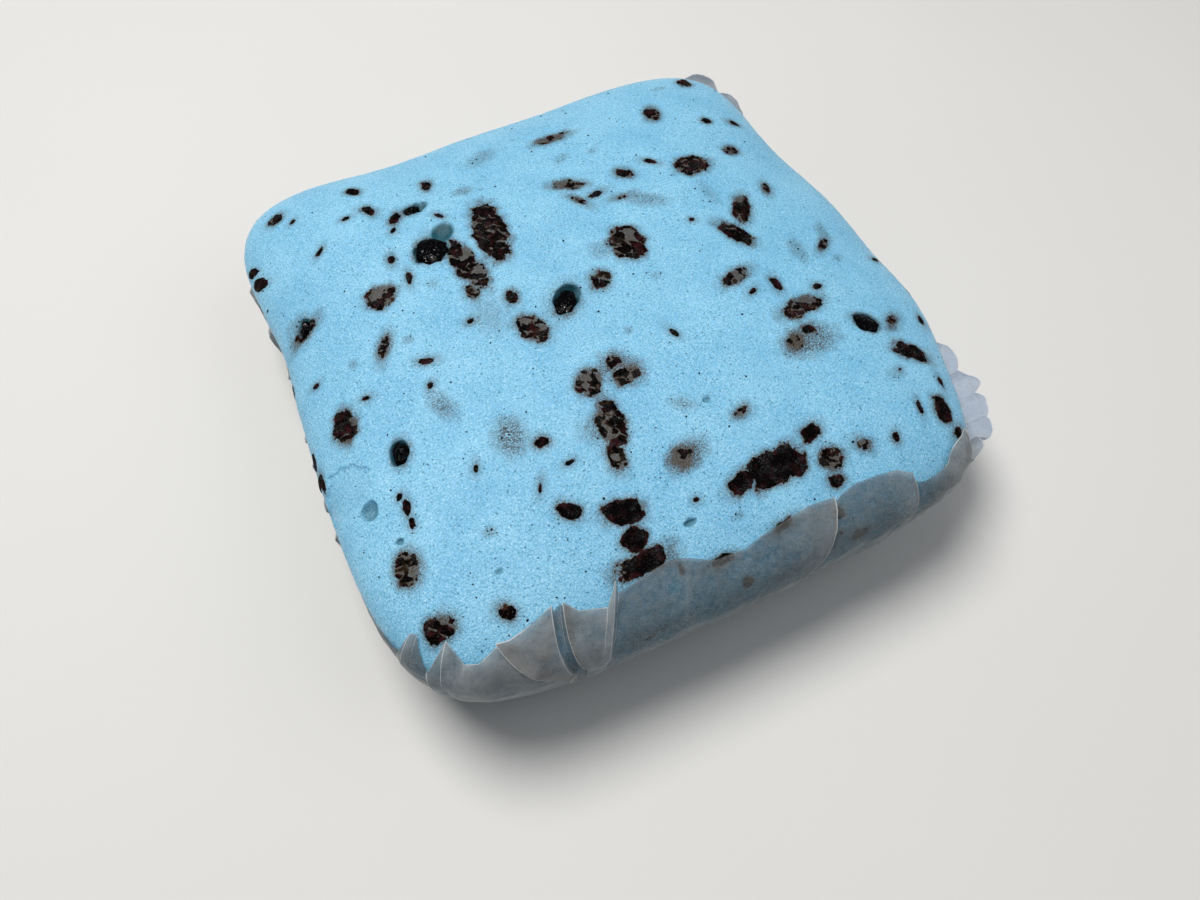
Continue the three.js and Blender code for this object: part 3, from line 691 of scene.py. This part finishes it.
def refine_grid(grid, inner, outer, least_depth):
    """Splits the faces of the flat grid whose middles lie between two reaches of a pit."""
    middles = np.array([face.calc_center_median()[:2] for face in grid.faces])
    x, y = plan_of_grid(middles[:, 0], middles[:, 1])
    chosen = np.zeros(len(middles), bool)
    for *oval, deep, _, _ in PITS:
        out = reach(x, y, *oval)
        chosen |= (out > inner) & (out < outer) & (deep >= least_depth)
    faces = [face for face, pick in zip(grid.faces, chosen) if pick]
    edges = list({edge for face in faces for edge in face.edges})
    bmesh.ops.subdivide_edges(grid, edges=edges, cuts=1, use_grid_fill=True)


def flat_top():
    """The square top in its flat form: (u, v) from -1 to 1, and faces."""
    grid = bmesh.new()
    bmesh.ops.create_grid(grid, x_segments=TOP_CELLS, y_segments=TOP_CELLS, size=1)
    for refinement in REFINEMENTS:
        refine_grid(grid, *refinement)
    grid.verts.index_update()
    flat = np.array([vertex.co[:2] for vertex in grid.verts])
    faces = [[vertex.index for vertex in face.verts] for face in grid.faces]
    grid.free()
    return flat, faces


def ring_places():
    """Places along the profile of the rings of points below the square top."""
    edge = place_of_share(TOP_EDGE_SHARE)
    overhang = place_of_height(OVERHANG_HEIGHT)
    return np.concatenate((
        np.linspace(edge, 1, SHOULDER_RINGS + 1)[1:],
        np.linspace(1, overhang, UPPER_WALL_RINGS + 1)[1:],
        np.linspace(overhang, 2, LOWER_WALL_RINGS + 1)[1:],
    ))


def cake_surface():
    """Angles and places along the profile of the sponge's points, and its faces."""
    flat, faces = flat_top()
    u, v = flat.T
    out = np.maximum(np.abs(u), np.abs(v))
    x, y = plan_of_grid(u, v)
    angle = np.arctan2(y, x)
    border = np.flatnonzero(out > 1 - 1e-6)
    border = border[np.argsort(angle[border])]
    places = ring_places()
    rings = len(flat) + np.arange(len(places) * len(border)).reshape(len(places), -1)
    for upper, ring in zip((border, *rings), rings):
        faces += np.stack((upper, ring, np.roll(ring, -1), np.roll(upper, -1)), -1).tolist()
    faces.append(rings[-1, ::-1].tolist())
    angles = np.concatenate((angle, np.tile(angle[border], len(places))))
    top_places = place_of_share(TOP_EDGE_SHARE * out)
    return angles, np.concatenate((top_places, np.repeat(places, len(border)))), faces


def cake_piece():
    angle, place, faces = cake_surface()
    bare = skin(angle, place)
    sunk = np.where(place < 1, dents(bare[:, 0], bare[:, 1]), 0)
    points = bare + skin_normal(angle, place) * (relief(bare) - sunk)[:, None]
    points[:, 2] = np.maximum(points[:, 2], CAKE_BOTTOM)
    piece = new_piece("cake_sponge", points, faces, sponge_material())
    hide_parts("cake")
    paint_cake(piece, bare, angle, place)


def paint_cake(piece, bare, angle, place):
    """Stores what the sponge's material has to know at each point."""
    x, y, _ = bare.T
    height = profile(place)[1]
    top = place < 1
    ghost = np.maximum(np.where(top, sunk_shade(x, y), 0), wall_shade(angle, height))
    _, rim_angle, rim_height, _, _ = case_stations().T
    rim = np.interp(np.degrees(angle), rim_angle, rim_height, period=360)
    set_attribute(piece, "near_flake", np.where(top, depth_in_flakes(x, y), FAR_FROM_FLAKE))
    set_attribute(piece, "ghost", ghost)
    # the pits' wet colour and painted shade
    set_attribute(piece, "wet", np.where(top, pit_wet_and_shade_at(x, y), 0))
    # painted shade on the skin below the paper's rim
    set_attribute(piece, "paper_shade", np.clip((rim - height) / PAPER_SHADE_FADE, 0, 1))


def faded(stored, strength, out, end, fade):
    """Takes the larger of what is stored and a strength that fades away towards an end."""
    return np.maximum(stored, strength * np.clip(end - out, 0, fade) / fade)


def sunk_shade(x, y):
    """How strongly sunk flakes show at places of the plan, from 0 to 1."""
    shade = np.zeros(len(x))
    uneven = 1 + 0.12 * wobble(x, y)
    for *oval, strength in GHOSTS:
        shade = faded(shade, strength, reach(x, y, *oval) * uneven, *GHOST_FADE)
    return shade


def pit_wet_and_shade_at(x, y):
    # how strongly the pits' wet colour and painted shade show at places of the plan
    wet = np.zeros(len(x))
    for *oval, _, _, wet_and_shade in PITS:
        wet = faded(wet, wet_and_shade, reach(x, y, *oval), *PIT_WET_AND_SHADE_FADE)
    return wet


def wall_shade(angle, height):
    """How strongly the skin is shaded round the flakes in the side."""
    shade = np.zeros(len(angle))
    for flake_angle, flake_height, length, rise in wall_flakes():
        turn = (angle - math.radians(flake_angle) + math.pi) % (2 * math.pi) - math.pi
        out = np.hypot(turn * HALF_WIDTH / (length / 2), (height - flake_height) / (rise / 2))
        shade = faded(shade, WALL_FLAKE_SHADE, out, *WALL_FLAKE_FADE)
    return shade


def depth_in_flakes(x, y):
    """How deep in a flake's outline places of the plan lie, in mm, and negative outside."""
    rows = [(oval, squareness, SLAB_HALO) for *oval, squareness in SLABS]
    rows += [(oval, PATCH_SQUARENESS, PATCH_HALO) for *oval, _, _ in PATCHES]
    rows += [(oval, 2, MELT_HALO) for *oval, _ in MELTS]
    near = np.full(len(x), FAR_FROM_FLAKE)
    for oval, squareness, most in rows:
        close = np.flatnonzero(np.hypot(x - oval[0], y - oval[1]) < oval[2] / 2 + 3)
        depth = outline_depth(x[close], y[close], oval, squareness)
        depth = depth - 0.3 * min(1, max(0, 1.7 - oval[3]))  # a narrow flake stains less
        near[close] = np.maximum(near[close], np.minimum(depth, most))
    return near


# ---- flakes

def noise_at(x, y, scale, layer):
    """Smooth noise from -1 to 1 over the plan, with features about as long as the scale."""
    return np.array([noise.noise(Vector((a / scale, b / scale, layer))) for a, b in zip(x, y)])


def outline_depth(x, y, oval, squareness):
    """How far inside a flake's ragged outline a place lies, in mm, and negative outside."""
    half = min(oval[2], oval[3]) / 2
    ragged = min(1.3, 0.35 + half / 3)
    inside = (1 - reach(x, y, *oval, power=squareness)) * half
    coarse = 0.6 * noise_at(x, y, 1.7, oval[0])
    fine = 0.32 * noise_at(x, y, 0.5, oval[1])
    return inside + ragged * (coarse + fine)


def crumb_depth(x, y, cell, left_out, layer):
    """How far inside a crumb of a crackled flake a place lies, in mm, and each crumb's own lift."""
    rows = []
    for a, b in zip(x, y):
        bend = 0.4 * noise.noise(Vector((a / 0.8, b / 0.8, layer)))
        away, middles = noise.voronoi(Vector((a / cell + bend, b / cell - bend, layer)))
        pick = (1 + noise.cell(middles[0] * 37)) / 2
        vein = 0.06 + 0.2 * noise.noise(Vector((a / 1.1, b / 1.1, layer + 5)))
        joined = noise.cell((middles[0] + middles[1]) * 23) > JOINED_CRUMBS
        depth = 0.25 if joined else (away[1] - away[0]) * cell / 2 - vein
        lift = (1 + noise.cell(middles[0] * 91)) / 2
        rows.append((-0.3 if pick < left_out else depth, lift))
    return np.array(rows).T


def flake_relief(x, y, oval, squareness, cell, left_out, rise):
    """Heights of a flake over places of the plan, and how far inside it they lie. Between its
    crumbs and round its edge it dips under the skin of the sponge."""
    depth = outline_depth(x, y, oval, squareness)
    lift = np.full(len(depth), 0.5)
    if cell:
        crumb, lift = crumb_depth(x, y, cell, left_out, 3 + oval[0] + oval[1])
        depth = np.minimum(depth, crumb)
    lumps = 0.09 * noise_at(x, y, 0.5, 9)
    crown = rise * (0.4 + 1.2 * lift) * (1 - np.exp(-np.maximum(depth, 0) / 0.25))
    above = crown + lumps * np.clip(depth / 0.2, 0, 1)
    return np.where(depth > 0, above, np.maximum(depth * 1.2, -EDGE_DIP)), depth


def flake_sheet(oval, *look):
    """A flake as a sheet of small squares: its places, heights, depths and faces."""
    middle_x, middle_y, length, width, turn = oval
    step = min(0.17, 0.09 + 0.02 * width)
    halves = (length / 2 + 0.6, width / 2 + 0.6)
    lines = [np.linspace(-half, half, math.ceil(2 * half / step)) for half in halves]
    along, across = np.meshgrid(*lines)
    x, y = turned(middle_x, middle_y, along.ravel(), across.ravel(), math.radians(turn))
    height, depth = flake_relief(x, y, oval, *look)
    near = (depth > -0.12).reshape(along.shape)
    kept = near[:-1, :-1] | near[1:, :-1] | near[:-1, 1:] | near[1:, 1:]
    low = np.flatnonzero(np.pad(kept, ((0, 1), (0, 1))).ravel())
    high = low + along.shape[1]
    used, faces = np.unique(np.stack((low, low + 1, high + 1, high), -1), return_inverse=True)
    return x[used], y[used], height[used], depth[used], faces.reshape(-1, 4)


def sheets_piece(name, sheets, material):
    """Joins flakes' sheets into one piece, a little thick and closed underneath."""
    x, y, height, depth, faces = [], [], [], [], []
    for sheet in sheets:
        faces += (sheet[4] + len(x)).tolist()
        for whole, part in zip((x, y, height, depth), sheet):
            whole.extend(part)
    points = on_top(np.array(x), np.array(y), np.array(height))
    piece = new_piece(name, points, faces, material)
    set_attribute(piece, "depth", depth)
    thicken(piece, FLAKE_THICKNESS, -1)


def slab_piece(material):
    sheets = [flake_sheet(oval, squareness, 0, 0, SLAB_RISE) for *oval, squareness in SLABS]
    sheets_piece("flake_slabs", sheets, material)


def crumb_piece(material):
    sheets = []
    for *oval, crumbs, left_out in PATCHES:
        cell = 0.95 * math.sqrt(oval[2] * oval[3] / crumbs)
        sheets.append(flake_sheet(oval, PATCH_SQUARENESS, cell, left_out, PATCH_RISE))
    sheets_piece("flake_crumbs", sheets, material)


def speck_outlines():
    """Tiny grains all over the top, and more where flakes have sunk: (x, y, size, turn)."""
    draw = random.Random(SEED)
    places = [[draw.uniform(-SPECK_REACH, SPECK_REACH) for _ in "xy"] for _ in range(SPECKS)]
    for x, y, length, width, turn, strength in GHOSTS:
        for _ in range(round(GRAINS_PER_GHOST * strength)):
            along, across = draw.gauss(0, length / 4), draw.gauss(0, width / 4)
            places.append(turned(x, y, along, across, math.radians(turn)))
    return [(x, y, 0.13 + 0.4 * draw.random() ** 6, draw.uniform(0, math.pi)) for x, y in places]


def speck_piece(material):
    """Each speck is an uneven little dome, half sunk."""
    draw = random.Random(SEED + 1)
    places, faces = [], []
    around = 6
    for x, y, size, turn in speck_outlines():
        faces += dome_faces(len(places), len(SPECK_RINGS), around)
        flat = draw.uniform(0.5, 0.95)
        for share, up in SPECK_RINGS:
            for corner in range(around):
                angle = corner * 2 * math.pi / around
                out = share * size / 2 * draw.uniform(0.8, 1.15)
                along, across = out * math.cos(angle), out * flat * math.sin(angle)
                places.append((*turned(x, y, along, across, turn), up * size))
    piece = new_piece("flake_specks", on_top(*np.array(places).T), faces, material)
    set_attribute(piece, "depth", np.ones(len(places)))


def wall_flakes():
    """The listed flakes of the side, and more on the sides that the photo doesn't show."""
    draw = random.Random(SEED + 2)
    more = [[draw.uniform(*ends) for ends in WALL_FLAKE_RANGES] for _ in range(MORE_WALL_FLAKES)]
    return [*WALL_FLAKES, *more]


def wall_flake_piece(material):
    """Ragged flat flakes, each a low dome on the side."""
    points, depth, faces = [], [], []
    around = 26
    shares = (1.2, 1, 0.86, 0.6, 0.3)
    corners = np.arange(around) * 2 * math.pi / around
    for angle, height, length, rise in wall_flakes():
        faces += dome_faces(len(points), len(shares), around)
        ragged = 1 + 0.28 * noise_at(np.cos(corners), np.sin(corners), 0.45, angle)
        for share in shares:
            along = share * length / 2 * np.cos(corners) * ragged
            up = share * rise / 2 * np.sin(corners) * ragged
            point_angle = math.radians(angle) + along / HALF_WIDTH
            place = place_of_height(height + up)
            bare = skin(point_angle, place)
            lift = -EDGE_DIP if share > 1 else 0.02 + 0.06 * (1 - share**2)
            lift = lift + relief(bare) + 0.03 * noise_at(along, up, 0.4, height)
            points.extend(bare + skin_normal(point_angle, place) * lift[:, None])
            depth.extend(np.full(around, 1.1 - share))
    piece = new_piece("flake_walls", points, faces, material)
    set_attribute(piece, "depth", depth)


def melt_piece(material):
    """Lumps of melted chocolate on the pits' floors."""
    points, faces = [], []
    rings = 16
    around = 72
    angles = np.arange(around) * 2 * math.pi / around
    for x, y, length, width, turn, under in MELTS:
        start = len(points)
        ragged = 1 + 0.22 * noise_at(np.cos(angles), np.sin(angles), 0.6, x)
        ragged = ragged + 0.09 * noise_at(np.cos(angles), np.sin(angles), 0.2, y)
        for ring in range(1, rings + 1):
            out = ring / rings
            along = out * length / 2 * np.cos(angles) * ragged
            across = out * width / 2 * np.sin(angles) * ragged
            place = turned(x, y, along, across, math.radians(turn))
            points.extend(melt_surface(*place, out, under))
        points.extend(melt_surface(np.array([x]), np.array([y]), 0, under))
        faces += melt_faces(start, rings, around)
    new_piece("melted_flakes", points, faces, material)


def melt_faces(start, rings, around):
    """Faces of a lump of rings from the inside out, round a middle point that follows them."""
    faces = []
    middle = start + rings * around
    for step in range(around):
        after = (step + 1) % around
        faces.append((middle, start + step, start + after))
        for low in range(start, middle - around, around):
            faces.append((low + step, low + around + step, low + around + after, low + after))
    faces.append(tuple(range(middle - 1, middle - around - 1, -1)))
    return faces


def melt_surface(x, y, out, under):
    """Points of a melted lump, at a share of the way out from its middle to its edge."""
    angle, place = above_plan(x, y)
    lumps = 0.34 * noise_at(x, y, 1.5, 4) + 0.16 * noise_at(x, y, 0.6, 7)
    dome = 0.5 * (1 - out**2) - under + lumps * min(1, 4 * (1 - out)) - (1.2 if out == 1 else 0)
    return skin(angle, place) + skin_normal(angle, place) * dome[:, None]


# ---- the paper case

def hidden_side(start, end):
    """Creases of a side that the photo doesn't show: a soft knife fold now and then."""
    rows = []
    folds = round((end - start) / HIDDEN_FOLD_PITCH)
    pitch = (end - start) / folds
    for fold in range(folds):
        middle = start + pitch * (fold + 0.5)
        lean = 1.2 if fold % 2 else -0.8
        rows += [
            (middle - 0.4 * pitch, middle - 0.4 * pitch, HIDDEN_RIM_HEIGHT, 0.3, 0.3),
            (middle, middle + lean, HIDDEN_RIM_HEIGHT + 0.6, 0.9, 1.1),
            (middle + 0.2, middle + lean - 1.1, HIDDEN_RIM_HEIGHT + 0.3, 0.4, 0.4),
        ]
    return rows


def lobe_creases(lobes):
    """Creases that give each lobe a round outline, with a valley between it and the next."""
    rows = []
    for start, end, height, stand_off in lobes:
        for share in LOBE_SHARES:
            angle = start + (end - start) * share
            bow = math.sin(math.pi * share) ** LOBE_ROUNDNESS
            out = stand_off * (LOBE_VALLEY + (1 - LOBE_VALLEY) * bow)
            rows.append((angle, angle, height - 1 + bow, 0.5 * out, out))
    return rows


def clinging(rows):
    """The rows with their stand-offs drawn in towards the cake."""
    rows = np.array(rows)
    rows[:, 3:] = LEAST_STAND_OFF + (rows[:, 3:] - LEAST_STAND_OFF) * FRONT_CLING
    return rows


def case_creases():
    """All creases once round the case, in order along the sheet."""
    right, back, left = (hidden_side(*side) for side in HIDDEN_SIDES)
    far = np.array(lobe_creases(FAR_LOBES)) + ONE_TURN
    tuck = np.array(LEFT_TUCK) + ONE_TURN
    front = [*clinging(FRONT_CREASES), *lobe_creases(RIGHT_LOBES)]
    return [*front, *right, *far, *back, *tuck, *left]


def case_stations():
    """Places along the sheet: the creases, with steps between them that are close by each."""
    creases = np.array(case_creases(), float)
    closing = creases[0] + ONE_TURN
    stations = []
    for first, second in zip(creases, [*creases[1:], closing]):
        stations += [first + (second - first) * share for share in STATION_SHARES]
    return np.array(stations)


def case_rows():
    """Row by row, the share of the way from foot to waist, and from waist to rim."""
    lower = [(step / CASE_LOWER_ROWS, 0) for step in range(CASE_LOWER_ROWS)]
    upper = [(1, step / CASE_UPPER_ROWS) for step in range(CASE_UPPER_ROWS)]
    return [*lower, *upper, (1, 0.985), (1, 1)]


def crumple(points):
    """Facets and fine upright wrinkles of handled paper, from about -1 to 1."""
    facets = np.array([noise.voronoi(Vector(point) / 5)[0][0] for point in points])
    waves = np.array([noise.noise(Vector((x / 2, y / 2, z / 9))) for x, y, z in points])
    return 1.2 * (facets - 0.5) + 0.8 * waves


def case_wall():
    """The wall's points, row by row from the foot to the rim, and how far each stands off."""
    waist_angle, rim_angle, height, waist_off, rim_off = case_stations().T
    foot_angle = np.sort(waist_angle)
    waist_place = place_of_height(np.minimum(WAIST_HEIGHT, 0.8 * height))
    rim_place = place_of_height(height)
    points, stand_off = [], []
    for lower, upper in case_rows():
        place = 2 - (2 - waist_place) * lower + (rim_place - waist_place) * upper
        angle = foot_angle + (waist_angle - foot_angle) * lower + (rim_angle - waist_angle) * upper
        rising = lower**2.5
        off = FOOT_STAND_OFF + (waist_off - FOOT_STAND_OFF) * rising + (rim_off - waist_off) * upper
        bare = skin(np.radians(angle), place)
        free = 0.5 * (lower + upper) * np.minimum(off, 1.6)
        off = np.maximum(off + 0.45 * free * crumple(bare), CLOSEST)
        points.append(bare + skin_normal(np.radians(angle), place) * (off + relief(bare))[:, None])
        stand_off.append(off)
    points[0][:, 2] = CASE_THICKNESS
    return np.array(points), np.array(stand_off)


def fold_edges(wall, stand_off):
    """From 0 to 1, how sharply the wall folds at each point; a rim that stands off counts too."""
    before = wall - np.roll(wall, 1, axis=1)
    after = np.roll(wall, -1, axis=1) - wall
    lengths = np.linalg.norm(before, axis=2) * np.linalg.norm(after, axis=2)
    turn = np.degrees(np.arccos(np.clip((before * after).sum(axis=2) / (lengths + 1e-9), -1, 1)))
    edges = np.clip((turn - 30) / 50, 0, 1)
    edges[-1] = np.maximum(edges[-1], np.clip((stand_off[-1] - 0.6) / 0.8, 0, 1))
    return edges


def case_faces(rows, around):
    """Faces of the wall, and of the floor as a ring round a middle point."""
    faces = [face for row in range(rows - 1) for face in band(row * around, around)]
    inner = rows * around
    for step in range(around):
        after = (step + 1) % around
        faces.append((step, inner + step, inner + after, after))
        faces.append((inner + step, inner + around, inner + after))
    return faces


def case_piece():
    """The thin sheet: a flat floor, and a creased wall that follows the cake up to its rim."""
    wall, stand_off = case_wall()
    floor_ring = wall[0] * (0.5, 0.5, 1)
    points = [*wall.reshape(-1, 3), *floor_ring, (0, 0, CASE_THICKNESS)]
    faces = case_faces(*stand_off.shape)
    piece = new_piece("case_paper", points, faces, paper_material())
    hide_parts("paper_case")
    flat = np.zeros(len(floor_ring) + 1)
    set_attribute(piece, "stand_off", np.append(stand_off, flat))
    # the fold value also lays a painted highlight along folds and a standing rim
    set_attribute(piece, "fold", np.append(fold_edges(wall, stand_off), flat))
    thicken(piece, CASE_THICKNESS, 0)
    sharpen_folds(piece)


def sharpen_folds(piece):
    """Marks the edges where the sheet turns by more than SHARP_FOLD as sharp."""
    shape = bmesh.new()
    shape.from_mesh(piece.data)
    for edge in shape.edges:
        if len(edge.link_faces) == 2 and edge.calc_face_angle(0) > math.radians(SHARP_FOLD):
            edge.smooth = False
    shape.to_mesh(piece.data)
    shape.free()


# ==== the studio

def add_camera():
    camera = add_object("camera", bpy.data.cameras.new("camera"))
    camera.data.lens = CAMERA_LENS
    camera.data.sensor_width = SENSOR_WIDTH
    camera.data.clip_start = 0.01
    place = Vector(CAMERA_PLACE) * MM
    aim = (Vector(CAMERA_TARGET) * MM - place).to_track_quat("-Z", "Y").to_matrix().to_4x4()
    roll = Matrix.Rotation(math.radians(CAMERA_ROLL), 4, "Z")
    camera.matrix_world = Matrix.Translation(place) @ aim @ roll
    bpy.context.scene.camera = camera


def add_lamp(name, place, width, power, colour):
    lamp = bpy.data.lights.new(name, "AREA")
    lamp.shape = "DISK"
    lamp.size = width
    lamp.energy = power
    lamp.color = colour
    light = add_object(name, lamp)
    light.location = place
    light.rotation_euler = (Vector(LIT_PLACE) - Vector(place)).to_track_quat("-Z", "Y").to_euler()


def add_studio():
    for lamp in LAMPS:
        add_lamp(*lamp)
    world = bpy.data.worlds.new("studio")
    world.use_nodes = True
    background = world.node_tree.nodes["Background"]
    feed(world.node_tree, background, {"Color": SKY_COLOUR, "Strength": SKY_STRENGTH})
    bpy.context.scene.world = world
    bpy.context.scene.view_settings.view_transform = "Standard"


def add_floor():
    mesh = bpy.data.meshes.new("studio_floor")
    signs = ((-1, -1), (1, -1), (1, 1), (-1, 1))
    corners = [(FLOOR_REACH * x, FLOOR_REACH * y, FLOOR_HEIGHT) for x, y in signs]
    mesh.from_pydata(corners, [], [(0, 1, 2, 3)])
    mesh.materials.append(floor_material())
    floor = add_object("studio_floor", mesh)


# ==== the whole

add_camera()
add_studio()
add_floor()
cake_piece()
chocolate = chocolate_material()
slab_piece(chocolate)
crumb_piece(chocolate)
speck_piece(chocolate)
wall_flake_piece(chocolate)
melt_piece(melted_material())
case_piece()

bpy.context.view_layer.update()
